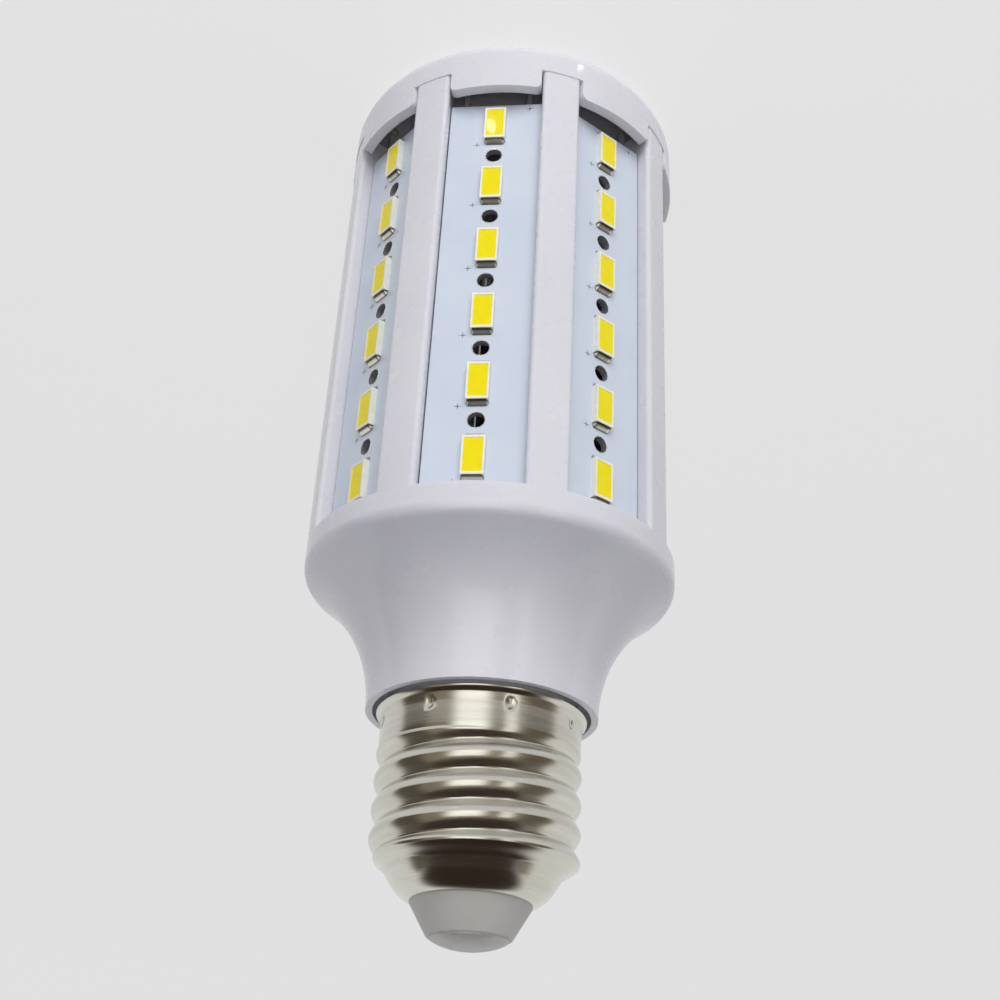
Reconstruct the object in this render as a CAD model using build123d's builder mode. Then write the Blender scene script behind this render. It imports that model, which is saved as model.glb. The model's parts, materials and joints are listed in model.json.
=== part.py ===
from build123d import *
from math import cos, isclose, radians, sin, sqrt
import os

# An open cage led light bulb with a screw base, stood on its flat head.
# +Z runs from the head up to the centre contact, and the origin is the middle of the head's face.
# All sizes are in millimetres.

# Lit sides, and the lamps on each side and on the head
side_count = 8
first_side_angle = -90
row_count = 6
head_outer_count = 8
head_inner_count = 4

# Lengths along the axis, from the head to the contact
seam_z = 5.5                    # tops of the ribs, where the cap seats
skirt_overlap = 3.5             # how far the cap's skirt reaches past the seam
board_gap = 0.8                 # between the skirt's edge and the side boards
first_lamp_reach = 4.0          # from a board's edge to the middle of its first lamp
row_pitch = 11.0
last_lamp_reach = 7.2           # from the middle of the last lamp to the ledge that the board stands on
board_pocket_depth = 2.2        # how deep a board's foot goes behind the sill of its window
band_reach = 1.4                # from that ledge to the edge between the band and the flare
flare_length = 17.7
groove_depth = 2.5              # of the ring groove inside the neck
lip_gap = 0.2                   # between the neck's rim and the shell's lip
collar_length = 5.0             # with the flared lip
thread_length = 14.4
shoulder_length = 4.0
insulator_length = 4.0
contact_height = 1.3

# Housing
cage_radius = 25.0
rib_depth = 5.0
rib_width = 5.73                # across a rib, along the line between two sides' corners
rib_corner = 0.6
flange_corner = 2.0
neck_radius = 15.05
mouth_wall = 0.9
flare_wall = 2.0
spigot_length = 9.0
spigot_wall = 1.4

# Cap
cap_overhang = 0.1              # how far the cap stands out past the ribs
cap_corner = 2.5
skirt_wall = 1.5
skirt_corner = 1.0
face_thickness = 2.4
face_rim = 3.8                  # how far the flat face reaches in from the skirt
rib_clearance = 0.1             # between a rib's side and the skirt beside it

# Boards
board_recess = 3.2              # from the cage's outside to the face that carries the lamps
window_gap = 0.12               # between a board's edge and the rib beside it
board_thickness = 1.0
board_hole_radius = 1.15
board_hole_sides = 12           # a many-sided hole stands for the round one, as there are so many
head_board_thickness = 1.6
board_clearance = 0.15          # between a board's edge and the plastic around it

# Lamps
lamp_width = 3.0
lamp_length = 5.6
lamp_height = 0.9
lamp_window_width = 2.5
lamp_window_length = 4.9
lamp_window_depth = 0.25
phosphor_depth = 0.2
lead_width = 2.7
lead_reach = 0.65
lead_height = 0.5
head_outer_inset = 5.4          # from the edge of the cap's opening to the middle of a lamp
head_inner_ring = 5.4

# Jumpers from the head board to the backs of the side boards
jumper_width = 0.64
jumper_inset = 1.98             # from a side board's edge to the middle of a pin
jumper_overlap = 1.4

# Screw shell
sheet = 0.4
lip_overhang = 0.75             # how far the lip stands out past the collar
lip_flare = 1.3
collar_radius = 12.9
thread_rise = 0.2               # how far the crests stand out past the collar
thread_depth = 0.9
thread_pitch = 3.63
thread_turns = 3.6
thread_offset = 0.57            # from the collar's end to the crest's start, on the +X side
crest_base = 3.3                # width of the crest where it leaves the sheet
crest_top = 1.1
shoulder_radius = 9.4
shoulder_corner = 0.6
shell_hole_radius = 7.0
spigot_clearance = 0.1          # between the spigot and the shell around it

# Insulator and contact
cone_base_radius = 7.45
cone_end_radius = 5.2
insulator_flange_radius = 8.4
insulator_flange_height = 1.2
contact_radius = 4.9
contact_edge = 0.4
contact_flat_radius = 2.4
rivet_radius = 1.4
rivet_length = 6.6
rivet_clearance = 0.05

# Driver board and its components
driver_thickness = 1.2
driver_slot_wall = 0.9          # of the spigot, left outside the slot that holds the driver board's edge
driver_start_reach = 1.1        # from the flange's edge to the driver board
driver_end_reach = 2.7          # from the driver board to the start of the shell's cone
film_width = 12.0
film_depth = 6.0
film_height = 10.0
film_corner = 1.0
film_reach = 13.5               # from the driver board's end to the middle of the capacitor
film_leg_spacing = 7.5
can_radius = 3.8
can_length = 12.0
can_reach = 11.5
can_leg_spacing = 2.5
resistor_radius = 1.6
resistor_length = 9.0
resistor_reach = 23.5
bridge_width = 4.7
bridge_length = 3.9
bridge_height = 2.5
bridge_reach = 24.5
stand_off = 0.3                 # between a component and the driver board under it
leg_width = 0.6
leg_run = 1.5                   # from a component's end to the bend of its leg

# Wires
wire_radius = 0.65
neutral_start = 6.0             # from the axis to the wire's joint on the driver board
neutral_reach = 4.0             # from that wire to the driver board's end
supply_spread = 4.0
supply_overlap = 4.5            # how far the supply wires run along the driver board

# Sizes that follow from those above
side_angle = 360 / side_count
sides = range(1, side_count + 1)
side_pitch = 2 * cage_radius * sin(radians(side_angle / 2))
head_board_z = face_thickness + head_board_thickness
skirt_z = seam_z + skirt_overlap
board_top_z = skirt_z + board_gap
lamp_zs = [board_top_z + first_lamp_reach + row_pitch * row for row in range(row_count)]
hole_zs = [z + row_pitch / 2 for z in lamp_zs[:-1]]
board_seat_z = lamp_zs[-1] + last_lamp_reach
sill_z = board_seat_z - board_pocket_depth
flange_z = board_seat_z + band_reach
neck_z = flange_z + flare_length
groove_z = neck_z - groove_depth
lip_z = neck_z + lip_gap
collar_z = lip_z + collar_length
thread_start_z = collar_z + thread_offset
shoulder_z = collar_z + thread_length
shell_end_z = shoulder_z + shoulder_length
cone_end_z = shell_end_z + insulator_length
tip_z = cone_end_z + contact_height
driver_start_z = flange_z + driver_start_reach
driver_end_z = shoulder_z - driver_end_reach
cage_bore_radius = cage_radius - rib_depth
window_width = side_pitch - rib_width
cap_radius = cage_radius + cap_overhang
cap_bore = cap_radius - skirt_wall
face_opening_radius = cap_bore - face_rim
head_outer_ring = face_opening_radius - head_outer_inset
board_face = cage_radius - board_recess
board_width = window_width - 2 * window_gap
lip_radius = collar_radius + lip_overhang
thread_radius = collar_radius + thread_rise
thread_core_radius = thread_radius - thread_depth
cage_plane = Plane(
    origin=(0, 0, seam_z),
    x_dir=(cos(radians(first_side_angle)), sin(radians(first_side_angle)), 0),
    z_dir=(0, 0, 1),
)
collar_bore = collar_radius - sheet
core_bore = thread_core_radius - sheet
collar_spigot_radius = collar_bore - spigot_clearance
core_spigot_radius = core_bore - spigot_clearance
spigot_bore = core_spigot_radius - spigot_wall
driver_width = 2 * (core_spigot_radius - driver_slot_wall)
spigot_end_z = groove_z + spigot_length
cavity_end_z = groove_z - flare_wall
half_driver = driver_thickness / 2
leg_foot_y = -half_driver - leg_width / 2


def side_plane(side, distance):
    """Plane on one side: X runs across it, Y along the axis, and Z points out of the bulb."""
    angle = radians(first_side_angle + side_angle * (side - 1))
    out = Vector(cos(angle), sin(angle), 0)
    return Plane(origin=out * distance, x_dir=(-sin(angle), cos(angle), 0), z_dir=out)


def save(part, label):
    part.label = label
    export_step(part, f"parts/{label}.step")


def save_group(piece, places, label):
    with BuildPart() as group:
        with Locations(*places):
            add(piece)
    save(group.part, label)


def wire(start, end):
    """A straight insulated wire between two points."""
    with BuildPart() as core:
        with BuildSketch(Plane(origin=start, z_dir=Vector(end) - Vector(start))):
            Circle(wire_radius)
        extrude(amount=(Vector(end) - Vector(start)).length)
    return core.part


def leg(plane, start, bend, end):
    """A component's leg, which runs out along one direction of a plane and turns square to a board."""
    half = Vector(1, 1) * (leg_width / 2)
    with BuildPart() as core:
        with BuildSketch(plane.offset(-leg_width / 2)):
            for corner, other in ((start, bend), (bend, end)):
                low = Vector(min(corner[0], other[0]), min(corner[1], other[1])) - half
                high = Vector(max(corner[0], other[0]), max(corner[1], other[1])) + half
                with Locations((low + high) / 2):
                    Rectangle(high.X - low.X, high.Y - low.Y)
        extrude(amount=leg_width)
    return core.part


os.makedirs("parts", exist_ok=True)

# Housing: cage ring, band, flare, neck and spigot are turned, windows leave the ribs between them,
# and slots take the feet of the side boards and the edges of the driver board
with BuildPart() as housing:
    with BuildSketch(Plane.XZ) as housing_section:
        with BuildLine():
            band = Line((cage_radius, seam_z), (cage_radius, flange_z))
            TangentArc((neck_radius, neck_z), band @ 1, tangent=(0, -1))
            Polyline(
                (neck_radius, neck_z),
                (neck_radius - mouth_wall, neck_z),
                (neck_radius - mouth_wall, groove_z),
                (collar_spigot_radius, groove_z),
                (collar_spigot_radius, collar_z - sheet),
                (core_spigot_radius, collar_z - sheet),
                (core_spigot_radius, spigot_end_z),
                (spigot_bore, spigot_end_z),
                (spigot_bore, cavity_end_z),
                (neck_radius - flare_wall, cavity_end_z),
                (cage_bore_radius, board_seat_z),
                (cage_bore_radius, seam_z),
                band @ 0,
            )
        make_face()
        flange = housing_section.vertices().sort_by_distance((cage_radius, flange_z))[0]
        fillet(flange, radius=flange_corner)
    revolve(axis=Axis.Z)
    with BuildSketch(cage_plane):
        with PolarLocations(cage_radius, side_count):
            Rectangle(cage_radius, window_width)
    extrude(amount=sill_z - seam_z, mode=Mode.SUBTRACT)
    rib_edges = housing.edges().filter_by(lambda edge: isclose(edge.length, sill_z - seam_z))
    fillet(rib_edges.group_by(SortBy.DISTANCE)[-1], radius=rib_corner)
    with BuildSketch(cage_plane.offset(board_seat_z - seam_z)):
        with PolarLocations((board_face + board_clearance) / 2, side_count):
            Rectangle(board_face + board_clearance, board_width + 2 * board_clearance)
    extrude(amount=sill_z - board_seat_z, mode=Mode.SUBTRACT)
    with BuildSketch(Plane.XY.offset(cavity_end_z)):
        Rectangle(driver_width + 2 * board_clearance, driver_thickness + 2 * board_clearance)
    extrude(amount=spigot_end_z - cavity_end_z, mode=Mode.SUBTRACT)
save(housing.part, "housing")

# Cap: a rounded ring whose skirt hangs between the ribs, with a notch over each rib
with BuildPart() as rib_notches:
    with BuildSketch(cage_plane):
        Circle(cap_radius + skirt_wall)
        with PolarLocations(cage_radius, side_count):
            Rectangle(2 * cage_radius, window_width - 2 * rib_clearance, mode=Mode.SUBTRACT)
    extrude(amount=skirt_z)

with BuildPart() as top_cap:
    with BuildSketch(Plane.XZ) as cap_section:
        with BuildLine():
            Polyline(
                (face_opening_radius, 0),
                (cap_radius, 0),
                (cap_radius, skirt_z),
                (cap_bore, skirt_z),
                (cap_bore, face_thickness),
                (face_opening_radius, face_thickness),
                close=True,
            )
        make_face()
        fillet(cap_section.vertices().sort_by_distance((cap_radius, 0))[0], radius=cap_corner)
    revolve(axis=Axis.Z)
    add(rib_notches.part, mode=Mode.SUBTRACT)
    fillet(top_cap.edges().group_by(Axis.Z)[-1].filter_by(GeomType.LINE), radius=skirt_corner)
save(top_cap.part, "top_cap")

# Screw shell: one drawn sheet with a flared lip, a plain collar, a rolled thread, a cone and a flat end
def shell_outline(inset):
    """Half section of the shell's outside, or of its inside when it is inset by the sheet."""
    return [
        (0, lip_z),
        (lip_radius - inset, lip_z),
        (collar_radius - inset, lip_z + lip_flare),
        (collar_radius - inset, collar_z - inset / 2),
        (thread_core_radius - inset, collar_z - inset / 2 + collar_radius - thread_core_radius),
        (thread_core_radius - inset, shoulder_z - inset / 2),
        (shoulder_radius - inset / 2, shell_end_z - inset),
        (0, shell_end_z - inset),
    ]


with BuildPart() as thread_crest:
    with BuildLine() as crest_path:
        Helix(
            thread_pitch,
            thread_pitch * thread_turns,
            thread_core_radius,
            center=(0, 0, thread_start_z),
        )
    with BuildSketch(Plane(origin=crest_path.line @ 0, x_dir=(1, 0, 0), z_dir=crest_path.line % 0)):
        with BuildLine():
            Polyline(
                (-sheet / 2, -crest_base / 2),
                (thread_radius - thread_core_radius, -crest_top / 2),
                (thread_radius - thread_core_radius, crest_top / 2),
                (-sheet / 2, crest_base / 2),
                close=True,
            )
        make_face()
    sweep(path=crest_path.line, is_frenet=True)

with BuildPart() as screw_shell:
    with BuildSketch(Plane.XZ) as shell_section:
        with BuildLine():
            Polyline(*shell_outline(0), close=True)
        make_face()
        shoulder = shell_section.vertices().sort_by_distance((shoulder_radius, shell_end_z))[0]
        chamfer(shoulder, length=shoulder_corner)
    revolve(axis=Axis.Z)
    add(thread_crest.part)
    with BuildSketch(Plane.XZ):
        with BuildLine():
            Polyline(*shell_outline(sheet), close=True)
        make_face()
    revolve(axis=Axis.Z, mode=Mode.SUBTRACT)
    with BuildSketch(Plane.XY.offset(shell_end_z)):
        Circle(shell_hole_radius)
    extrude(amount=-2 * sheet, mode=Mode.SUBTRACT)
save(screw_shell.part, "screw_shell")

# Insulator: a cone outside the shell's flat end, held by a flange inside it
shell_floor_z = shell_end_z - sheet
with BuildPart() as base_insulator:
    with BuildSketch(Plane.XZ):
        with BuildLine():
            Polyline(
                (rivet_radius + rivet_clearance, shell_floor_z - insulator_flange_height),
                (insulator_flange_radius, shell_floor_z - insulator_flange_height),
                (insulator_flange_radius, shell_floor_z),
                (shell_hole_radius - rivet_clearance, shell_floor_z),
                (shell_hole_radius - rivet_clearance, shell_end_z),
                (cone_base_radius, shell_end_z),
                (cone_end_radius, cone_end_z),
                (rivet_radius + rivet_clearance, cone_end_z),
                close=True,
            )
        make_face()
    revolve(axis=Axis.Z)
save(base_insulator.part, "base_insulator")

# Centre contact: a shallow cap on a rivet that passes through the insulator
contact_foot_z = cone_end_z - rivet_length
with BuildPart() as centre_contact:
    with BuildSketch(Plane.XZ):
        with BuildLine():
            Polyline(
                (0, contact_foot_z),
                (rivet_radius, contact_foot_z),
                (rivet_radius, cone_end_z),
                (contact_radius, cone_end_z),
                (contact_radius, cone_end_z + contact_edge),
                (contact_flat_radius, tip_z),
                (0, tip_z),
                close=True,
            )
        make_face()
    revolve(axis=Axis.Z)
save(centre_contact.part, "centre_contact")

# One lamp: a white body with a shallow window, its phosphor filling, and a soldered lead at each end
with BuildPart() as lamp_body:
    with BuildSketch():
        Rectangle(lamp_width, lamp_length)
    extrude(amount=lamp_height)
    with BuildSketch(Plane.XY.offset(lamp_height)):
        Rectangle(lamp_window_width, lamp_window_length)
    extrude(amount=-lamp_window_depth, mode=Mode.SUBTRACT)

with BuildPart() as lamp_phosphor:
    with BuildSketch(Plane.XY.offset(lamp_height - lamp_window_depth)):
        Rectangle(lamp_window_width, lamp_window_length)
    extrude(amount=phosphor_depth)

with BuildPart() as lamp_leads:
    with BuildSketch(Plane.YZ.offset(-lead_width / 2)):
        for end in (-lamp_length / 2, lamp_length / 2):
            with BuildLine():
                toe = end + lead_reach if end > 0 else end - lead_reach
                Polyline((end, 0), (toe, 0), (end, lead_height), close=True)
            make_face()
    extrude(amount=lead_width)

# Side boards, each with a column of lamps
for side in sides:
    face = side_plane(side, board_face)
    with BuildPart() as led_board:
        with BuildSketch(face):
            with Locations((0, (board_top_z + board_seat_z) / 2)):
                Rectangle(board_width, board_seat_z - board_top_z)
            with Locations(*[(0, z) for z in hole_zs]):
                RegularPolygon(board_hole_radius, board_hole_sides, mode=Mode.SUBTRACT)
        extrude(amount=-board_thickness)
    save(led_board.part, f"led_board_{side}")
    places = [face.location * Location((0, z, 0)) for z in lamp_zs]
    save_group(lamp_body.part, places, f"led_bodies_{side}")
    save_group(lamp_phosphor.part, places, f"led_phosphors_{side}")
    save_group(lamp_leads.part, places, f"led_leads_{side}")

# Head board, behind the opening in the cap, with two rings of lamps that point at the axis
with BuildPart() as head_board:
    with BuildSketch(Plane.XY.offset(face_thickness)):
        Circle(cap_bore - board_clearance)
    extrude(amount=head_board_thickness)
save(head_board.part, "head_board")

head_face = Plane(origin=(0, 0, face_thickness), x_dir=(1, 0, 0), z_dir=(0, 0, -1))
head_places = []
for radius, count in ((head_outer_ring, head_outer_count), (head_inner_ring, head_inner_count)):
    for number in range(count):
        turn = Location((0, 0, 0), (0, 0, 360 * number / count))
        head_places.append(head_face.location * turn * Location((0, radius, 0)))
save_group(lamp_body.part, head_places, "head_led_bodies")
save_group(lamp_phosphor.part, head_places, "head_led_phosphors")
save_group(lamp_leads.part, head_places, "head_led_leads")

# Jumpers: pins soldered to the head board, each lying on the back of a side board
jumper_places = []
for side in sides:
    back = side_plane(side, board_face - board_thickness - jumper_width / 2)
    for across in (jumper_inset - board_width / 2, board_width / 2 - jumper_inset):
        jumper_places.append(back.location * Location((across, head_board_z, 0)))
with BuildPart() as jumper_pins:
    with Locations(*jumper_places):
        Box(
            jumper_width,
            board_top_z + jumper_overlap - head_board_z,
            jumper_width,
            align=(Align.CENTER, Align.MIN, Align.CENTER),
        )
save(jumper_pins.part, "jumper_pins")

# Driver board, whose edges slide into the spigot's slots
with BuildPart() as driver_board:
    with BuildSketch(Plane.XZ.offset(-half_driver)):
        with Locations((0, (driver_start_z + driver_end_z) / 2)):
            Rectangle(driver_width, driver_end_z - driver_start_z)
    extrude(amount=driver_thickness)
save(driver_board.part, "driver_board")

# Film capacitor on the +Y face, on two short legs
film_z = driver_start_z + film_reach
with BuildPart() as film_capacitor:
    with Locations((0, half_driver + stand_off + film_depth / 2, film_z)):
        Box(film_width, film_depth, film_height)
    fillet(film_capacitor.edges().filter_by(Axis.Y), radius=film_corner)
    with BuildSketch(Plane.XZ.offset(-half_driver)):
        with Locations((-film_leg_spacing / 2, film_z), (film_leg_spacing / 2, film_z)):
            Rectangle(leg_width, leg_width)
    extrude(amount=-stand_off)
save(film_capacitor.part, "film_capacitor")

# Smoothing capacitor on the -Y face, lying down, with legs bent to the board
can_y = -half_driver - stand_off - can_radius
can_z = driver_start_z + can_reach
can_top_z = can_z + can_length / 2
with BuildPart() as smoothing_capacitor:
    with Locations((0, can_y, can_z)):
        Cylinder(can_radius, can_length)
    for leg_x in (-can_leg_spacing / 2, can_leg_spacing / 2):
        bend = (can_y, can_top_z + leg_run)
        add(leg(Plane.YZ.offset(leg_x), (can_y, can_top_z), bend, (leg_foot_y, bend[1])))
save(smoothing_capacitor.part, "smoothing_capacitor")

# Fusible resistor on the -Y face, lying across, with a leg at each end
resistor_y = -half_driver - stand_off - resistor_radius
resistor_z = driver_start_z + resistor_reach
with BuildPart() as fusible_resistor:
    with BuildSketch(Plane.YZ.offset(-resistor_length / 2)):
        with Locations((resistor_y, resistor_z)):
            Circle(resistor_radius)
    extrude(amount=resistor_length)
    for end in (-1, 1):
        root = (end * resistor_length / 2, resistor_y)
        bend = (end * (resistor_length / 2 + leg_run), resistor_y)
        add(leg(Plane.XY.offset(resistor_z), root, bend, (bend[0], leg_foot_y)))
save(fusible_resistor.part, "fusible_resistor")

# Bridge rectifier, flat on the +Y face
with BuildPart() as bridge_rectifier:
    with Locations((0, half_driver + bridge_height / 2, driver_start_z + bridge_reach)):
        Box(bridge_width, bridge_height, bridge_length)
save(bridge_rectifier.part, "bridge_rectifier")

# Wires: from the contact and the shell to the driver, and from the driver to the head board
wire_y = half_driver + wire_radius
save(wire((0, 0, driver_end_z), (0, 0, contact_foot_z)), "live_wire")

neutral_z = driver_end_z - neutral_reach
shell_x = -sqrt(core_bore**2 - (wire_y + wire_radius) ** 2)
save(wire((-neutral_start, -wire_y, neutral_z), (shell_x, -wire_y, neutral_z)), "neutral_wire")

for label, supply_x in (
    ("led_wire_positive", supply_spread / 2),
    ("led_wire_negative", -supply_spread / 2),
):
    supply_end = (supply_x, wire_y, driver_start_z + supply_overlap)
    save(wire((supply_x, wire_y, head_board_z), supply_end), label)
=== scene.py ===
import json
from math import cos, pi, radians, sin, tau

import bpy
import bmesh
from mathutils import Matrix, Vector


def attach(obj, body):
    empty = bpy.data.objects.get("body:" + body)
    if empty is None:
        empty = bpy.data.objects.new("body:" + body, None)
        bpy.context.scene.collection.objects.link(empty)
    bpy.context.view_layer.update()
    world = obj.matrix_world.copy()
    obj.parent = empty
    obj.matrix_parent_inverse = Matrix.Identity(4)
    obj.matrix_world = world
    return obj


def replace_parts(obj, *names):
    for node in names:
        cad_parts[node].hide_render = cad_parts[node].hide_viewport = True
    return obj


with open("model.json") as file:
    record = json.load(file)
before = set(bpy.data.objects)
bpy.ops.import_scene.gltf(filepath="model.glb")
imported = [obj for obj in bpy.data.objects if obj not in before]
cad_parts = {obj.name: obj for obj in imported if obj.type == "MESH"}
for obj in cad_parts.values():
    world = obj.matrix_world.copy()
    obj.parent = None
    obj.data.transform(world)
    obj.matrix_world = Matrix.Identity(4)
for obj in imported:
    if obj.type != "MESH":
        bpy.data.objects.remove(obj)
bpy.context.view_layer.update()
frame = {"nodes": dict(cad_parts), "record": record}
scene = bpy.context.scene
scene.view_settings.view_transform = "Standard"

MM = 0.001
SIDES = 8
FIRST_SIDE = -90.0             # azimuth of the first board, in degrees
FIRST_COLOUR, SECOND_COLOUR, MIXED_COLOUR = 6, 7, 2     # sockets of a Mix node that mixes colours

# Camera: where the photograph was taken from, in the bulb's frame, which has the screw base up
CAMERA_PLACE = Vector((-21.98, -165.41, 152.77)) * MM
CAMERA_TURN = Matrix((
    (-0.99373, -0.00533, -0.11170),
    (0.10073, -0.47648, -0.87340),
    (-0.04857, -0.87917, 0.47403),
))
SENSOR = 36.0
FOCAL_IN_PICTURES = 1.3493      # focal length over the picture's width

camera_data = bpy.data.cameras.new("camera")
camera_data.sensor_fit = "HORIZONTAL"
camera_data.sensor_width = SENSOR
camera_data.lens = SENSOR * FOCAL_IN_PICTURES
camera_data.clip_start = 0.005
camera_data.clip_end = 50
camera = bpy.data.objects.new("camera", camera_data)
camera.matrix_world = Matrix.Translation(CAMERA_PLACE) @ CAMERA_TURN.to_4x4()
scene.collection.objects.link(camera)
scene.camera = camera


# Materials
class Nodes:
    """A short way to build one material's node tree."""

    def __init__(self, name):
        self.material = bpy.data.materials.new(name)
        self.material.use_nodes = True
        self.tree = self.material.node_tree
        self.shader = self.tree.nodes["Principled BSDF"]
        self.place = self.add("ShaderNodeTexCoord").outputs["Object"]

    def add(self, kind, **settings):
        node = self.tree.nodes.new(kind)
        for key, value in settings.items():
            setattr(node, key, value)
        return node

    def link(self, output, socket):
        self.tree.links.new(output, socket)

    def noise(self, scale, detail=4.0, roughness=0.55, stretch=None, distortion=0.0):
        node = self.add("ShaderNodeTexNoise")
        node.inputs["Scale"].default_value = scale
        node.inputs["Detail"].default_value = detail
        node.inputs["Roughness"].default_value = roughness
        node.inputs["Distortion"].default_value = distortion
        source = self.place
        if stretch:
            mapping = self.add("ShaderNodeMapping")
            mapping.inputs["Scale"].default_value = stretch
            self.link(source, mapping.inputs["Vector"])
            source = mapping.outputs["Vector"]
        self.link(source, node.inputs["Vector"])
        return node.outputs["Fac"]

    def spread(self, value, low, high, start=0.3, end=0.7):
        """Maps a noise's usual range to a range of values."""
        node = self.add("ShaderNodeMapRange")
        node.inputs["From Min"].default_value = start
        node.inputs["From Max"].default_value = end
        node.inputs["To Min"].default_value = low
        node.inputs["To Max"].default_value = high
        self.link(value, node.inputs["Value"])
        return node.outputs["Result"]

    def math(self, operation, first, second):
        node = self.add("ShaderNodeMath", operation=operation)
        for socket, value in zip(node.inputs, (first, second)):
            if isinstance(value, (int, float)):
                socket.default_value = value
            else:
                self.link(value, socket)
        return node.outputs["Value"]

    def blend(self, fac, first, second):
        node = self.add("ShaderNodeMix", data_type="RGBA")
        self.link(fac, node.inputs["Factor"])
        for index, value in ((FIRST_COLOUR, first), (SECOND_COLOUR, second)):
            socket = node.inputs[index]
            if isinstance(value, tuple):
                socket.default_value = (*value, 1.0)
            else:
                self.link(value, socket)
        return node.outputs[MIXED_COLOUR]

    def colour(self, output):
        self.link(output, self.shader.inputs["Base Color"])

    def rough(self, output):
        self.link(output, self.shader.inputs["Roughness"])

    def bump(self, height, distance, strength=1.0):
        node = self.add("ShaderNodeBump")
        node.inputs["Distance"].default_value = distance
        node.inputs["Strength"].default_value = strength
        self.link(height, node.inputs["Height"])
        self.link(node.outputs["Normal"], self.shader.inputs["Normal"])

    def set(self, **values):
        for key, value in values.items():
            self.shader.inputs[key.replace("_", " ")].default_value = value


def linear(*channels):
    """A colour given as it looks on a screen, 0 to 255, in the linear values that shaders take."""
    scaled = [c / 255 for c in channels]
    return tuple(c / 12.92 if c <= 0.04045 else ((c + 0.055) / 1.055) ** 2.4 for c in scaled)


PLAIN_GRAIN, PLAIN_DEPTH = 2500.0, 2e-6


def plain(name, light, dark, low, high, scale=400.0):
    """A mottled colour, a roughness that varies from low to high, and a fine grain."""
    m = Nodes(name)
    m.colour(m.blend(m.spread(m.noise(scale), 0.0, 1.0), light, dark))
    m.rough(m.spread(m.noise(scale * 2.3, detail=6.0), low, high))
    m.bump(m.noise(PLAIN_GRAIN, detail=3.0), PLAIN_DEPTH)
    return m.material


def moulded_plastic():
    m = Nodes("moulded_plastic")
    cloud = m.spread(m.noise(45.0, detail=5.0), 0.0, 1.0)
    base = m.blend(cloud, linear(221, 220, 225), linear(215, 214, 220))
    specks = m.spread(m.noise(1700.0, detail=2.0), 0.0, 1.0, start=0.76, end=0.82)
    m.colour(m.blend(specks, base, linear(200, 197, 200)))
    m.rough(m.spread(m.noise(260.0, detail=6.0), 0.26, 0.30))
    m.bump(m.noise(70.0, detail=1.0), distance=1.5e-5, strength=0.25)
    m.set(IOR=1.45, Coat_Weight=0.5, Coat_Roughness=0.07)
    m.set(Subsurface_Weight=0.2, Subsurface_Scale=0.002, Subsurface_Radius=(1.0, 0.98, 1.0))
    return m.material


def facing_out(m):
    """1 where a surface faces straight out from the bulb's axis, and 0 on walls and backs."""
    geometry = m.add("ShaderNodeNewGeometry")
    flat = m.add("ShaderNodeVectorMath", operation="MULTIPLY")
    m.link(geometry.outputs["Position"], flat.inputs[0])
    flat.inputs[1].default_value = (1.0, 1.0, 0.0)
    outward = m.add("ShaderNodeVectorMath", operation="NORMALIZE")
    m.link(flat.outputs["Vector"], outward.inputs[0])
    dot = m.add("ShaderNodeVectorMath", operation="DOT_PRODUCT")
    m.link(outward.outputs["Vector"], dot.inputs[0])
    m.link(geometry.outputs["True Normal"], dot.inputs[1])
    return m.spread(dot.outputs["Value"], 0.0, 1.0, start=0.78, end=0.82)


def solder_mask():
    """White mask on the front, and bare grey aluminium on the back, the edges and in the holes."""
    m = Nodes("solder_mask")
    cloud = m.spread(m.noise(120.0, detail=5.0), 0.0, 1.0)
    base = m.blend(cloud, linear(211, 219, 231), linear(204, 213, 227))
    specks = m.spread(m.noise(2300.0, detail=2.0), 0.0, 1.0, start=0.74, end=0.80)
    front = m.blend(specks, base, linear(184, 192, 207))
    bare = m.blend(m.spread(m.noise(800.0), 0.0, 1.0), linear(140, 140, 147), linear(116, 116, 123))
    m.colour(m.blend(facing_out(m), bare, front))
    m.rough(m.spread(m.noise(500.0, detail=5.0), 0.14, 0.22))
    m.bump(m.noise(900.0, detail=4.0), distance=8e-6, strength=0.5)
    m.set(IOR=1.5, Coat_Weight=0.6, Coat_Roughness=0.06)
    return m.material


def bare_aluminium():
    m = Nodes("bare_aluminium")
    brushed = m.noise(300.0, detail=6.0, stretch=(1.0, 14.0, 14.0))
    m.colour(m.blend(m.spread(brushed, 0.0, 1.0), linear(208, 206, 213), linear(194, 192, 200)))
    m.rough(m.spread(m.noise(700.0), 0.45, 0.6))
    m.bump(brushed, distance=6e-6, strength=0.6)
    m.set(Metallic=0.15)
    return m.material


def nickel_plate():
    m = Nodes("nickel_plate")
    swirl = m.noise(140.0, detail=5.0, stretch=(0.5, 0.5, 9.0))
    m.colour(m.blend(m.spread(swirl, 0.0, 1.0), linear(216, 215, 206), linear(203, 201, 190)))
    scratches = m.noise(900.0, detail=3.0, stretch=(0.35, 0.35, 12.0))
    m.rough(m.spread(scratches, 0.16, 0.24))
    m.bump(m.noise(130.0, detail=1.0), distance=4e-5, strength=0.6)
    m.set(Metallic=1.0)
    return m.material


def phosphor():
    m = Nodes("phosphor")
    grains = m.spread(m.noise(900.0, detail=5.0), 0.0, 1.0)
    m.colour(m.blend(grains, linear(250, 232, 0), linear(244, 225, 0)))
    m.rough(m.spread(m.noise(500.0), 0.10, 0.2))
    m.bump(m.noise(420.0, detail=2.0), distance=8e-6, strength=0.4)
    m.set(IOR=1.2, Coat_Weight=0.3, Coat_Roughness=0.03)
    return m.material


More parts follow.
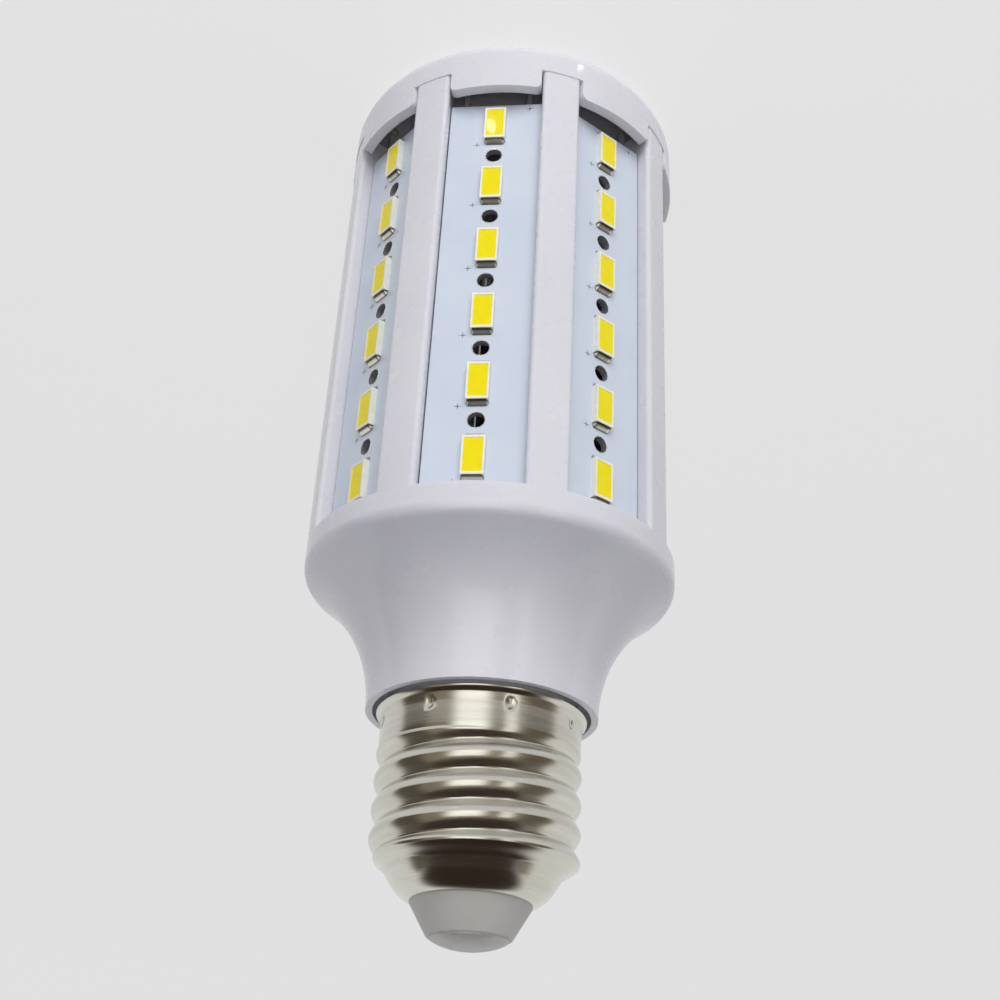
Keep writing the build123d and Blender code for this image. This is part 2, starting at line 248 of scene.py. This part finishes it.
def solder():
    m = Nodes("solder")
    blotch = m.spread(m.noise(420.0, detail=3.0), 0.0, 1.0)
    bright = m.blend(blotch, linear(240, 239, 230), linear(222, 221, 210))
    tarnish_and_painted_shade = m.add("ShaderNodeAttribute", attribute_name="tarnish_and_painted_shade").outputs["Fac"]
    # The attribute read here gives the board marks their own dull tone; on the lamp fillets it paints
    # shade, leaving one painted highlight line bright.
    m.colour(m.blend(tarnish_and_painted_shade, bright, linear(88, 86, 74)))
    m.rough(m.spread(m.noise(900.0), 0.10, 0.20))
    m.bump(m.noise(700.0, detail=2.0), distance=3e-5, strength=0.5)
    m.set(Metallic=0.75)
    return m.material


def insulator():
    m = Nodes("insulator")
    cloud = m.spread(m.noise(170.0, detail=5.0), 0.0, 1.0)
    m.colour(m.blend(cloud, linear(204, 201, 195), linear(194, 190, 184)))
    m.rough(m.spread(m.noise(600.0), 0.38, 0.5))
    m.bump(m.noise(1500.0, detail=4.0), distance=1e-5, strength=0.6)
    m.set(IOR=1.5)
    return m.material


def contact_metal():
    m = Nodes("contact_metal")
    swirl = m.noise(500.0, detail=4.0, distortion=0.5)
    m.colour(m.blend(m.spread(swirl, 0.0, 1.0), linear(208, 206, 202), linear(194, 191, 186)))
    m.rough(m.spread(m.noise(800.0), 0.42, 0.55))
    m.bump(m.noise(1100.0, detail=3.0), distance=1e-5, strength=0.6)
    m.set(Metallic=0.35)
    return m.material


def laminate():
    m = Nodes("laminate")
    weave = m.add("ShaderNodeTexVoronoi", feature="F1")
    weave.inputs["Scale"].default_value = 900.0
    m.link(m.place, weave.inputs["Vector"])
    threads = weave.outputs["Distance"]
    m.colour(m.blend(m.spread(threads, 0.0, 1.0), linear(30, 112, 62), linear(20, 88, 48)))
    m.rough(m.spread(m.noise(700.0), 0.28, 0.4))
    m.bump(threads, distance=1e-5, strength=0.4)
    return m.material


SLOTS = {
    "housing_plastic": moulded_plastic(),
    "board_mask": solder_mask(),
    "board_aluminium": bare_aluminium(),
    "led_white": plain("led_white", linear(246, 246, 236), linear(236, 236, 222), 0.3, 0.42, 900.0),
    "phosphor": phosphor(),
    "solder": solder(),
    "nickel_plate": nickel_plate(),
    "insulator_plastic": insulator(),
    "contact_metal": contact_metal(),
    "driver_laminate": laminate(),
    "film_case": plain("film_case", linear(150, 52, 34), linear(126, 40, 26), 0.18, 0.3),
    "can_sleeve": plain("can_sleeve", linear(34, 34, 38), linear(22, 22, 26), 0.2, 0.34),
    "resistor_body": plain("resistor_body", linear(108, 160, 172), linear(90, 142, 156), 0.3, 0.45),
    "bridge_body": plain("bridge_body", linear(38, 38, 38), linear(26, 26, 27), 0.45, 0.6),
    "live_sleeve": plain("live_sleeve", linear(180, 36, 32), linear(160, 26, 24), 0.28, 0.4),
    "neutral_sleeve": plain("neutral_sleeve", linear(34, 34, 34), linear(24, 24, 25), 0.28, 0.4),
    "positive_sleeve": plain("positive_sleeve", linear(184, 40, 36), linear(164, 28, 26), 0.28, 0.4),
    "negative_sleeve": plain("negative_sleeve", linear(218, 216, 210), linear(204, 202, 196), 0.28, 0.4),
}

for part in frame["record"]["subparts"]:
    node = frame["nodes"][part["node"]]
    node.data.materials.clear()
    node.data.materials.append(SLOTS[part["material_slot"]])


# Pieces made here
def piece(name, mesh, slot, smooth=True):
    obj = bpy.data.objects.new(name, mesh)
    scene.collection.objects.link(obj)
    mesh.materials.append(SLOTS[slot])
    for face in mesh.polygons:
        face.use_smooth = smooth
    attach(obj, "root")
    return obj


def surface(name, rows, columns, point):
    """A mesh over a grid of points that closes on itself across its columns."""
    vertices = [point(i / (rows - 1), j / columns) for i in range(rows) for j in range(columns)]
    faces = []
    for i in range(rows - 1):
        for j in range(columns):
            a = i * columns + j
            b = i * columns + (j + 1) % columns
            faces.append((a, b, b + columns, a + columns))
    mesh = bpy.data.meshes.new(name)
    mesh.from_pydata(vertices, [], faces)
    mesh.update()
    return mesh


# Screw shell, in millimetres: sheet, lip, collar, rolled thread, shoulder and dome
SHEET = 0.4
LIP_Z, LIP_R = 95.3, 13.65
FLARE = 1.3
COLLAR_Z, COLLAR_R = 100.3, 12.9
CREST_R, ROOT_R = 13.1, 12.2
PITCH = 3.63
CREST_Z = 100.87                # crest height on the +X side, in the thread's first turn
CREST_ROUND = 0.62              # share of a parabola in the crest's section, beside a cosine
RISE_Z, RISE_END_Z = COLLAR_Z - 0.1, COLLAR_Z + 0.5     # where the thread comes up after the collar
FADE_Z, FADE_END_Z = 113.4, 115.2                       # and where it runs out on the shoulder
CONE_Z = 113.5                  # the shoulder's cone starts here
DOME_Z, DOME_R = 116.5, 10.2    # and turns over into a dome here
DOME_PULL_Z, DOME_PULL_R = 118.58, 8.8      # the corner that the dome's curve is pulled towards
DOME_STEPS = 12
END_Z, HOLE_R = 118.68, 7.1     # the dome ends on the hole that the insulator fills
SHELL_ROWS, SHELL_COLUMNS = 216, 208

# Stake marks that hold the shell on its neck
DIMPLES = 8
DIMPLE_TURN = -22.8             # azimuth of one of them, in degrees
DIMPLE_Z = 97.25
DIMPLE_DEPTH = 0.34
DIMPLE_HALF_WIDTH, DIMPLE_HALF_HEIGHT = 0.52, 1.05
DIMPLE_FLAT = 0.35              # share of its reach where a mark is at its full depth

# The shell's section as far as the dome, in points of radius and height
SECTION = [
    # The rolled edge of the lip
    (LIP_R - 0.1, LIP_Z - 0.02), (LIP_R, LIP_Z + 0.1), (LIP_R - 0.12, LIP_Z + 0.35),
    # The flare down to the collar
    (COLLAR_R + 0.22, LIP_Z + FLARE * 0.6), (COLLAR_R + 0.04, LIP_Z + FLARE),
    (COLLAR_R, LIP_Z + FLARE + 0.4), (COLLAR_R, COLLAR_Z - 0.25), (COLLAR_R - 0.08, COLLAR_Z),
    # The root of the thread
    (ROOT_R + 0.12, COLLAR_Z + 0.75), (ROOT_R, COLLAR_Z + 1.0), (ROOT_R, CONE_Z - 0.3),
    # The turn on to the cone
    (ROOT_R - 0.1, CONE_Z + 0.05), (ROOT_R - 0.36, CONE_Z + 0.4),
]


def ease(value, start, end):
    t = min(1.0, max(0.0, (value - start) / (end - start)))
    return t * t * (3 - 2 * t)


def shell_outline(steps):
    """Points (radius, height) down the shell, evenly spaced along its section."""
    raw = list(SECTION)
    for k in range(DOME_STEPS + 1):
        t = k / DOME_STEPS
        start, pull, end = (1 - t) ** 2, 2 * t * (1 - t), t * t
        raw.append((
            start * DOME_R + pull * DOME_PULL_R + end * HOLE_R,
            start * DOME_Z + pull * DOME_PULL_Z + end * END_Z,
        ))
    lengths = [0.0]
    for (r0, z0), (r1, z1) in zip(raw, raw[1:]):
        lengths.append(lengths[-1] + ((r1 - r0) ** 2 + (z1 - z0) ** 2) ** 0.5)
    points = []
    segment = 0
    for i in range(steps):
        want = lengths[-1] * i / (steps - 1)
        while segment < len(raw) - 2 and lengths[segment + 1] < want:
            segment += 1
        t = (want - lengths[segment]) / (lengths[segment + 1] - lengths[segment])
        (r0, z0), (r1, z1) = raw[segment], raw[segment + 1]
        points.append((r0 + (r1 - r0) * t, z0 + (z1 - z0) * t))
    return points


def crest_height(height, turn):
    """How far the rolled thread stands out of the root, from 0 to 1."""
    from_crest = (height - CREST_Z) / PITCH - turn / tau
    u = abs(from_crest - round(from_crest)) * 2
    return CREST_ROUND * (1 - u * u) + (1 - CREST_ROUND) * (0.5 + 0.5 * cos(pi * u))


def dimple(height, turn):
    """How deep the nearest stake mark is here."""
    step = tau / DIMPLES
    across = (turn - radians(DIMPLE_TURN)) / step
    across = (across - round(across)) * step * COLLAR_R
    along = (height - DIMPLE_Z) / DIMPLE_HALF_HEIGHT
    distance = ((across / DIMPLE_HALF_WIDTH) ** 2 + along ** 2) ** 0.5
    return DIMPLE_DEPTH * (1 - ease(distance, DIMPLE_FLAT, 1.0))


outline = shell_outline(SHELL_ROWS)


def shell_point(down, around):
    turn = tau * around
    radius, height = outline[round(down * (SHELL_ROWS - 1))]
    share = ease(height, RISE_Z, RISE_END_Z) * (1 - ease(height, FADE_Z, FADE_END_Z))
    ridge = ROOT_R + (CREST_R - ROOT_R) * crest_height(height, turn)
    radius = radius + max(0.0, ridge - radius) * share - dimple(height, turn)
    return (radius * cos(turn) * MM, radius * sin(turn) * MM, height * MM)


shell_mesh = surface("screw_shell_rolled", SHELL_ROWS, SHELL_COLUMNS, shell_point)
shell = piece("screw_shell_rolled", shell_mesh, "nickel_plate")
thick = shell.modifiers.new("sheet", "SOLIDIFY")
thick.thickness = SHEET * MM
thick.offset = -1.0             # the sheet lies inside the surface
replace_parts(shell, "screw_shell")


# Insulator and contact, turned shapes that sit in the shell's end
CORNER_SHARE = 1 / 2.2          # the most of a side that one rounded corner takes


def turned(name, profile, columns, slot):
    """A closed solid turned about the axis, from a profile that starts and ends on it."""
    solid = bmesh.new()
    loops = []
    turns = [tau * k / columns for k in range(columns)]
    for radius, height in profile:
        loops.append([solid.verts.new((radius * cos(t) * MM, radius * sin(t) * MM, height * MM))
                      for t in (turns if radius else turns[:1])])
    for low, high in zip(loops, loops[1:]):
        for k in range(columns):
            corners = [low[k % len(low)], low[(k + 1) % len(low)],
                       high[(k + 1) % len(high)], high[k % len(high)]]
            solid.faces.new(list(dict.fromkeys(corners)))
    bmesh.ops.recalc_face_normals(solid, faces=solid.faces)
    mesh = bpy.data.meshes.new(name)
    solid.to_mesh(mesh)
    solid.free()
    return piece(name, mesh, slot)


def rounded(corners, radius, steps=4):
    """A profile whose inner corners are rounded, with the first and last kept."""
    points = [corners[0]]
    for before, corner, after in zip(corners, corners[1:], corners[2:]):
        ends = []
        for other in (before, after):
            run = ((other[0] - corner[0]) ** 2 + (other[1] - corner[1]) ** 2) ** 0.5
            share = min(radius / run, CORNER_SHARE)
            ends.append((corner[0] + (other[0] - corner[0]) * share,
                         corner[1] + (other[1] - corner[1]) * share))
        for k in range(steps + 1):
            t = k / steps
            points.append(tuple((1 - t) ** 2 * a + 2 * t * (1 - t) * b + t * t * c
                                for a, b, c in zip(ends[0], corner, ends[1])))
    points.append(corners[-1])
    return points


TURNED_COLUMNS = 128
INSULATOR_TOP_Z, INSULATOR_TOP_R = 122.7, 5.2
INSULATOR_FOOT_Z, INSULATOR_FOOT_R, FOOT_HEIGHT = 118.45, 7.55, 0.3
INSULATOR_PLUG_Z, INSULATOR_PLUG_R = 117.4, 7.0     # the part inside the shell's hole
INSULATOR_ROUND = 0.22
insulator_profile = rounded([
    (0, INSULATOR_PLUG_Z), (INSULATOR_PLUG_R, INSULATOR_PLUG_Z), (INSULATOR_PLUG_R, INSULATOR_FOOT_Z),
    (INSULATOR_FOOT_R, INSULATOR_FOOT_Z), (INSULATOR_FOOT_R, INSULATOR_FOOT_Z + FOOT_HEIGHT),
    (INSULATOR_TOP_R, INSULATOR_TOP_Z), (0, INSULATOR_TOP_Z),
], INSULATOR_ROUND)
moulding = turned("insulator_moulding", insulator_profile, TURNED_COLUMNS, "insulator_plastic")
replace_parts(moulding, "base_insulator")

CONTACT_R, CONTACT_TOP_Z = 4.9, 124.0
CONTACT_SEAT = 0.3              # how far it sits in the insulator, and narrows there
CONTACT_WALL = 0.16             # height of its edge, where the dome starts
CONTACT_STEPS, CONTACT_BULGE, CONTACT_TAPER = 24, 2.4, 0.97
contact_profile = [
    (0, INSULATOR_TOP_Z - CONTACT_SEAT), (CONTACT_R - CONTACT_SEAT, INSULATOR_TOP_Z - CONTACT_SEAT),
    (CONTACT_R - 0.06, INSULATOR_TOP_Z - 0.05), (CONTACT_R, INSULATOR_TOP_Z + CONTACT_WALL / 2),
]
for k in range(1, CONTACT_STEPS):
    share = 1 - k / CONTACT_STEPS
    dome_height = (CONTACT_TOP_Z - INSULATOR_TOP_Z - CONTACT_WALL) * (1 - share ** CONTACT_BULGE)
    contact_profile.append((CONTACT_R * share ** CONTACT_TAPER,
                            INSULATOR_TOP_Z + CONTACT_WALL + dome_height))
contact_profile.append((0, CONTACT_TOP_Z))
contact = turned("contact_dome", contact_profile, TURNED_COLUMNS, "contact_metal")
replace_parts(contact, "centre_contact")

# Small bare metal marks, one at each lamp's lower left in the photograph and one by the board's edge
BOARD_FACE = 21.8
FIRST_LAMP_Z, ROW_PITCH, ROWS = 13.8, 11.0, 6
MARK_ACROSS, MARK_ALONG = 2.5, 3.45
EDGE_MARK = (-4.8, 10.6)        # across the board and along the axis
MARK_POINTS = 8
MARK_ARM, MARK_WAIST, MARK_HEIGHT = 0.55, 0.1, 0.02
MARK_TARNISH = 0.75


def board_frame(side):
    """The directions straight out of a side board and across it."""
    turn = radians(FIRST_SIDE + 360 / SIDES * side)
    out = Vector((cos(turn), sin(turn), 0))
    across = Vector((-sin(turn), cos(turn), 0))
    return out, across


marks = bmesh.new()
mark_layer = marks.verts.layers.float.new("tarnish_and_painted_shade")
for side in range(SIDES):
    out, across = board_frame(side)
    spots = [(MARK_ACROSS, FIRST_LAMP_Z + ROW_PITCH * row + MARK_ALONG) for row in range(ROWS)]
    for x, z in [*spots, EDGE_MARK]:
        centre = out * (BOARD_FACE + MARK_HEIGHT) + across * x + Vector((0, 0, z))
        ring = []
        for k in range(MARK_POINTS):
            turn = tau * k / MARK_POINTS
            reach = MARK_ARM if k % 2 == 0 else MARK_WAIST
            ring.append(centre + (across * cos(turn) + Vector((0, 0, sin(turn)))) * reach)
        top = [marks.verts.new(p * MM) for p in ring]
        low = [marks.verts.new((p - out * MARK_HEIGHT) * MM) for p in ring]
        marks.faces.new(top)
        for k in range(MARK_POINTS):
            after = (k + 1) % MARK_POINTS
            marks.faces.new((top[k], low[k], low[after], top[after]))
# The marks' own dull tone, held in the attribute that also carries the fillets' painted shade
for vertex in marks.verts:
    vertex[mark_layer] = MARK_TARNISH
bmesh.ops.recalc_face_normals(marks, faces=marks.faces)
mark_mesh = bpy.data.meshes.new("board_marks")
marks.to_mesh(mark_mesh)
marks.free()
piece("board_marks", mark_mesh, "solder", smooth=False)

# Solder at each lamp's ends: a fillet that curves up the lamp's end, rounded at its sides; its colour is
# painted shade with one painted highlight line across it
LAMP_HALF_LENGTH = 2.8
FILLET_HALF_WIDTH, FILLET_REACH, FILLET_HEIGHT = 1.47, 0.74, 0.80
FILLET_COLUMNS, FILLET_ROWS = 14, 8
FILLET_START = LAMP_HALF_LENGTH - 0.02      # just inside the lamp's end
FILLET_SQUARENESS = 10          # the higher, the squarer its two sides
FILLET_FALL, FILLET_BULGE = 1.8, 0.20       # how fast it falls, and how much it bulges on the way
FILLET_CORNER_REACH = 0.35      # share of its reach that is left at its sides
PAINTED_HIGHLIGHT_LINE, LINE_SPREAD, LINE_CLEAR = 0.62, 0.25, 0.4      # where the painted highlight line runs, going down; the rest of the fillet gets painted shade


def fillet(mesh, layer, out, across, middle, end):
    """One fillet at a lamp's end, where end is 1 or -1 along the bulb's axis."""
    grid = []
    for i in range(FILLET_ROWS + 1):
        down = i / FILLET_ROWS
        row = []
        for j in range(FILLET_COLUMNS + 1):
            side_share = 2 * j / FILLET_COLUMNS - 1
            crown = (1 - side_share ** FILLET_SQUARENESS) ** 0.5
            height = crown * (FILLET_HEIGHT * (1 - down) ** FILLET_FALL + FILLET_BULGE * sin(pi * down))
            reach = FILLET_REACH * (FILLET_CORNER_REACH + (1 - FILLET_CORNER_REACH) * crown) * down
            along = (FILLET_START + reach) * end
            x = FILLET_HALF_WIDTH * side_share
            point = middle + across * x + out * height + Vector((0, 0, along))
            vertex = mesh.verts.new(point * MM)
            # painted shade everywhere but the painted highlight line across the fillet
            vertex[layer] = min(1.0, max(0.0, abs(down - PAINTED_HIGHLIGHT_LINE) / LINE_SPREAD - LINE_CLEAR))
            row.append(vertex)
        grid.append(row)
    foot = [mesh.verts.new((middle + across * (FILLET_HALF_WIDTH * (2 * j / FILLET_COLUMNS - 1))
                            + Vector((0, 0, FILLET_START * end))) * MM)
            for j in range(1, FILLET_COLUMNS)]
    for low, high in zip(grid, grid[1:]):
        for j in range(FILLET_COLUMNS):
            mesh.faces.new((low[j], low[j + 1], high[j + 1], high[j]))
    base = [grid[0][0], *foot, grid[0][-1]]
    for j in range(FILLET_COLUMNS):
        corners = [base[j], grid[0][j], grid[0][j + 1], base[j + 1]]
        mesh.faces.new(list(dict.fromkeys(reversed(corners))))
    rim = [grid[i][0] for i in range(1, FILLET_ROWS + 1)]
    rim += [grid[-1][j] for j in range(1, FILLET_COLUMNS)]
    rim += [grid[i][-1] for i in range(FILLET_ROWS, 0, -1)]
    mesh.faces.new(list(reversed(base)) + rim)


for side in range(SIDES):
    out, across = board_frame(side)
    joints = bmesh.new()
    layer = joints.verts.layers.float.new("tarnish_and_painted_shade")
    for row in range(ROWS):
        middle = out * BOARD_FACE + Vector((0, 0, FIRST_LAMP_Z + ROW_PITCH * row))
        for end in (1, -1):
            fillet(joints, layer, out, across, middle, end)
    bmesh.ops.recalc_face_normals(joints, faces=joints.faces)
    joint_mesh = bpy.data.meshes.new(f"lamp_solder_{side + 1}")
    joints.to_mesh(joint_mesh)
    joints.free()
    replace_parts(piece(f"lamp_solder_{side + 1}", joint_mesh, "solder"), f"led_leads_{side + 1}")

# A thin bare rim round each hole in the side boards, and a cone of solder at the foot of each pin
HOLE_Z, HOLES, HOLE_RADIUS = 19.3, 5, 1.15
RIM_WIDTH, RIM_HEIGHT, RIM_SUNK = 0.12, 0.03, 0.05
PIN_RADIUS, PIN_ACROSS = 20.48, 4.602
HEAD_BOARD_Z, CONE_HEIGHT, CONE_FOOT = 4.0, 1.5, 1.05
CONE_CORE, CONE_SUNK = 0.2, 0.01
RIM_COLUMNS, CONE_COLUMNS = 28, 20


def rings(name, places, profile, columns, slot):
    """Many small rings or cones, each turned about its own axis from the same profile."""
    mesh = bmesh.new()
    turns = [tau * k / columns for k in range(columns)]
    for centre, axis, first, second in places:
        loops = []
        for radius, height in profile:
            middle = centre + axis * height
            loops.append([mesh.verts.new((middle + (first * cos(t) + second * sin(t)) * radius) * MM)
                          for t in turns])
        for low, high in zip(loops, loops[1:] + loops[:1]):
            for k in range(columns):
                mesh.faces.new((low[k], low[(k + 1) % columns], high[(k + 1) % columns], high[k]))
    bmesh.ops.recalc_face_normals(mesh, faces=mesh.faces)
    data = bpy.data.meshes.new(name)
    mesh.to_mesh(data)
    mesh.free()
    return piece(name, data, slot)


UP = Vector((0, 0, 1))
rim_places, cone_places = [], []
for side in range(SIDES):
    out, across = board_frame(side)
    for row in range(HOLES):
        centre = out * BOARD_FACE + UP * (HOLE_Z + ROW_PITCH * row)
        rim_places.append((centre, out, across, UP))
    for x in (-PIN_ACROSS, PIN_ACROSS):
        cone_places.append((out * PIN_RADIUS + across * x + UP * HEAD_BOARD_Z, UP, across, out))
rings("hole_rims", rim_places, [
    (HOLE_RADIUS, -RIM_SUNK), (HOLE_RADIUS, RIM_HEIGHT * 0.6), (HOLE_RADIUS + RIM_WIDTH / 2, RIM_HEIGHT),
    (HOLE_RADIUS + RIM_WIDTH, 0.0), (HOLE_RADIUS + RIM_WIDTH, -RIM_SUNK),
], RIM_COLUMNS, "solder")
rings("pin_solder", cone_places, [
    (CONE_CORE, -CONE_SUNK), (CONE_FOOT, -CONE_SUNK), (CONE_FOOT * 0.72, CONE_HEIGHT * 0.2),
    (0.5, CONE_HEIGHT / 2), (0.4, 1.15), (0.3, CONE_HEIGHT), (CONE_CORE, CONE_HEIGHT),
], CONE_COLUMNS, "solder")


# Floor, world and lights
def seen_directly(tree):
    """1 for rays from the camera and for reflected and refracted ones, which see the pale backdrop."""
    path = tree.nodes.new("ShaderNodeLightPath")
    value = path.outputs["Is Camera Ray"]
    for kind in ("Is Glossy Ray", "Is Transmission Ray"):
        either = tree.nodes.new("ShaderNodeMath")
        either.operation = "MAXIMUM"
        tree.links.new(value, either.inputs[0])
        tree.links.new(path.outputs[kind], either.inputs[1])
        value = either.outputs["Value"]
    return value


FLOOR_GLOW = 0.68               # how much of the floor's paleness is its own, for such rays
FLOOR_GLOW_TONE = (0.93, 0.93, 0.93)
FLOOR_PALE, FLOOR_SHADE = (0.88, 0.88, 0.88), (0.86, 0.86, 0.865)
FLOOR_SIZE, FLOOR_DROP = 30, 0.0002     # metres, and how far it lies below the bulb's head


def floor_material():
    m = Nodes("pale_floor")
    m.colour(m.blend(m.noise(60.0, detail=2.0, roughness=0.5), FLOOR_PALE, FLOOR_SHADE))
    m.set(Roughness=0.9)
    glow = m.add("ShaderNodeEmission")
    glow.inputs["Color"].default_value = (*FLOOR_GLOW_TONE, 1)
    mix = m.add("ShaderNodeMixShader")
    m.link(m.math("MULTIPLY", seen_directly(m.tree), FLOOR_GLOW), mix.inputs["Fac"])
    m.link(m.shader.outputs["BSDF"], mix.inputs[1])
    m.link(glow.outputs["Emission"], mix.inputs[2])
    m.link(mix.outputs["Shader"], m.tree.nodes["Material Output"].inputs["Surface"])
    return m.material


def plane(name, width, material, height):
    """A level square of the stage, with its middle on the bulb's axis."""
    mesh = bpy.data.meshes.new(name)
    w = width / 2
    mesh.from_pydata([(-w, -w, 0), (w, -w, 0), (w, w, 0), (-w, w, 0)], [], [(0, 1, 2, 3)])
    obj = bpy.data.objects.new(name, mesh)
    mesh.materials.append(material)
    obj.location = (0, 0, height)
    scene.collection.objects.link(obj)
    return obj


floor = plane("floor", FLOOR_SIZE, floor_material(), -FLOOR_DROP)
floor.visible_shadow = False    # so that the lamps that stand lower light the bulb from its head

WORLD_TONE, WORLD_STRENGTH = (0.93, 0.94, 1.0), 0.42
WORLD_SEEN = (0.82, 0.825, 0.815)       # the backdrop, for rays that see it directly
world = bpy.data.worlds.new("world")
scene.world = world
world.use_nodes = True
world_tree = world.node_tree
background = world_tree.nodes["Background"]
world_mix = world_tree.nodes.new("ShaderNodeMix")
world_mix.data_type = "RGBA"
world_tree.links.new(seen_directly(world_tree), world_mix.inputs["Factor"])
world_mix.inputs[FIRST_COLOUR].default_value = (*(c * WORLD_STRENGTH for c in WORLD_TONE), 1)
world_mix.inputs[SECOND_COLOUR].default_value = (*WORLD_SEEN, 1)
world_tree.links.new(world_mix.outputs[MIXED_COLOUR], background.inputs["Color"])
background.inputs["Strength"].default_value = 1.0


LAMP_TARGET = Vector((0, 0, 0.06))      # near the middle of the bulb


def lamp(name, azimuth, distance, height, width, tall, power):
    """A soft panel at an azimuth round the bulb, facing it, which reflections don't see."""
    data = bpy.data.lights.new(name, "AREA")
    data.shape = "RECTANGLE"
    data.size = width
    data.size_y = tall
    data.energy = power
    obj = bpy.data.objects.new(name, data)
    turn = radians(azimuth)
    place = Vector((cos(turn) * distance, sin(turn) * distance, height))
    obj.location = place
    obj.rotation_euler = (LAMP_TARGET - place).to_track_quat("-Z", "Y").to_euler()
    obj.visible_camera = False
    obj.visible_glossy = False
    scene.collection.objects.link(obj)


lamp("key", azimuth=-104, distance=0.45, height=-0.26, width=0.40, tall=0.30, power=1.85)
lamp("fill", azimuth=-101, distance=0.20, height=0.15, width=0.05, tall=0.05, power=0.065)
lamp("back", azimuth=78, distance=0.50, height=-0.20, width=0.40, tall=0.30, power=1.5)

CARD_ROWS = 8


def card_material(name, tone, strength, soft):
    """A light or dark tone that is full at the card's middle and fades out towards its edges."""
    material = bpy.data.materials.new(name)
    material.use_nodes = True
    tree = material.node_tree
    tree.nodes.remove(tree.nodes["Principled BSDF"])
    place = tree.nodes.new("ShaderNodeTexCoord").outputs["UV"]
    reach = tree.nodes.new("ShaderNodeVectorMath")
    reach.operation = "LENGTH"
    tree.links.new(place, reach.inputs[0])
    fade = tree.nodes.new("ShaderNodeMapRange")
    fade.interpolation_type = "SMOOTHSTEP"
    fade.inputs["From Min"].default_value = 1.0 - soft
    fade.inputs["From Max"].default_value = 1.0
    tree.links.new(reach.outputs["Value"], fade.inputs["Value"])
    glow = tree.nodes.new("ShaderNodeEmission")
    glow.inputs["Color"].default_value = (*tone, 1)
    glow.inputs["Strength"].default_value = strength
    clear = tree.nodes.new("ShaderNodeBsdfTransparent")
    mix = tree.nodes.new("ShaderNodeMixShader")
    tree.links.new(fade.outputs["Result"], mix.inputs["Fac"])
    tree.links.new(glow.outputs["Emission"], mix.inputs[1])
    tree.links.new(clear.outputs["BSDF"], mix.inputs[2])
    tree.links.new(mix.outputs["Shader"], tree.nodes["Material Output"].inputs["Surface"])
    return material


def card(name, tone, strength, soft, columns, point, edge):
    """A card that only reflections see, as a photographer stands one beside shiny metal.

    It fades out at its two sides, and where edge is 1 also at its top and bottom.
    """
    vertices = [point(2 * i / columns - 1, 2 * j / CARD_ROWS - 1)
                for j in range(CARD_ROWS + 1) for i in range(columns + 1)]
    faces = []
    for j in range(CARD_ROWS):
        for i in range(columns):
            a = j * (columns + 1) + i
            faces.append((a, a + 1, a + columns + 2, a + columns + 1))
    mesh = bpy.data.meshes.new(name)
    mesh.from_pydata(vertices, [], faces)
    layer = mesh.uv_layers.new(name="across")
    for loop in mesh.loops:
        j, i = divmod(loop.vertex_index, columns + 1)
        u, v = 2 * i / columns - 1, 2 * j / CARD_ROWS - 1
        layer.data[loop.index].uv = (u, v * edge)
    mesh.materials.append(card_material(name, tone, strength, soft))
    obj = bpy.data.objects.new(name, mesh)
    scene.collection.objects.link(obj)
    obj.visible_camera = False
    obj.visible_diffuse = False
    obj.visible_shadow = False
    obj.visible_transmission = False


def arc_card(name, tone, strength, first, last, radius, height, soft):
    """An upright card on the floor, curved round the bulb between two azimuths."""
    def point(u, v):
        turn = radians((first + last) / 2 + (last - first) / 2 * u)
        return (radius * cos(turn), radius * sin(turn), height / 2 + height / 2 * v)
    card(name, tone, strength, soft, columns=24, point=point, edge=0.0)


def flat_card(name, tone, strength, place, half_width, half_depth, soft):
    """A level card whose tone fades out to an oval."""
    def point(u, v):
        return (place[0] + half_width * u, place[1] + half_depth * v, place[2])
    card(name, tone, strength, soft, columns=8, point=point, edge=1.0)


DIM = (0.27, 0.225, 0.17)
DARK = (0.10, 0.085, 0.065)
BRIGHT = (1.0, 0.99, 0.95)
ABOVE = (0.035, 0.022, 0.018)
arc_card("card_round", DIM, 1.0, first=4, last=-192, radius=0.27, height=0.33, soft=0.12)
arc_card("card_left", DARK, 1.0, first=2, last=-42, radius=0.26, height=0.33, soft=0.5)
arc_card("card_right", DARK, 1.4, first=-140, last=-186, radius=0.26, height=0.33, soft=0.6)
arc_card("card_bright", BRIGHT, 1.45, first=-60, last=-114, radius=0.25, height=0.24, soft=0.6)
arc_card("card_bright_small", BRIGHT, 1.15, first=-120, last=-141, radius=0.25, height=0.24, soft=0.7)
flat_card("card_above", ABOVE, 1.0, (0.0, -0.21, 0.60), half_width=0.66, half_depth=0.62, soft=0.3)

# Small bright cards just above the floor, each for one highlight of the photograph
GLINT_Z = 0.0004
for name, strength, x, y, half_width, half_depth, soft in (
    ("glint_lamp", 20.0, 0.0028, -0.0372, 0.0008, 0.0018, 0.3),
    ("glint_cap", 8.0, -0.0140, -0.0235, 0.0006, 0.0008, 0.5),
    ("glint_band_left", 9.0, 0.0358, -0.0838, 0.0024, 0.0030, 0.6),
    ("glint_band_right", 9.0, -0.0808, -0.0374, 0.0030, 0.0024, 0.6),
):
    flat_card(name, BRIGHT, strength, (x, y, GLINT_Z), half_width, half_depth, soft)
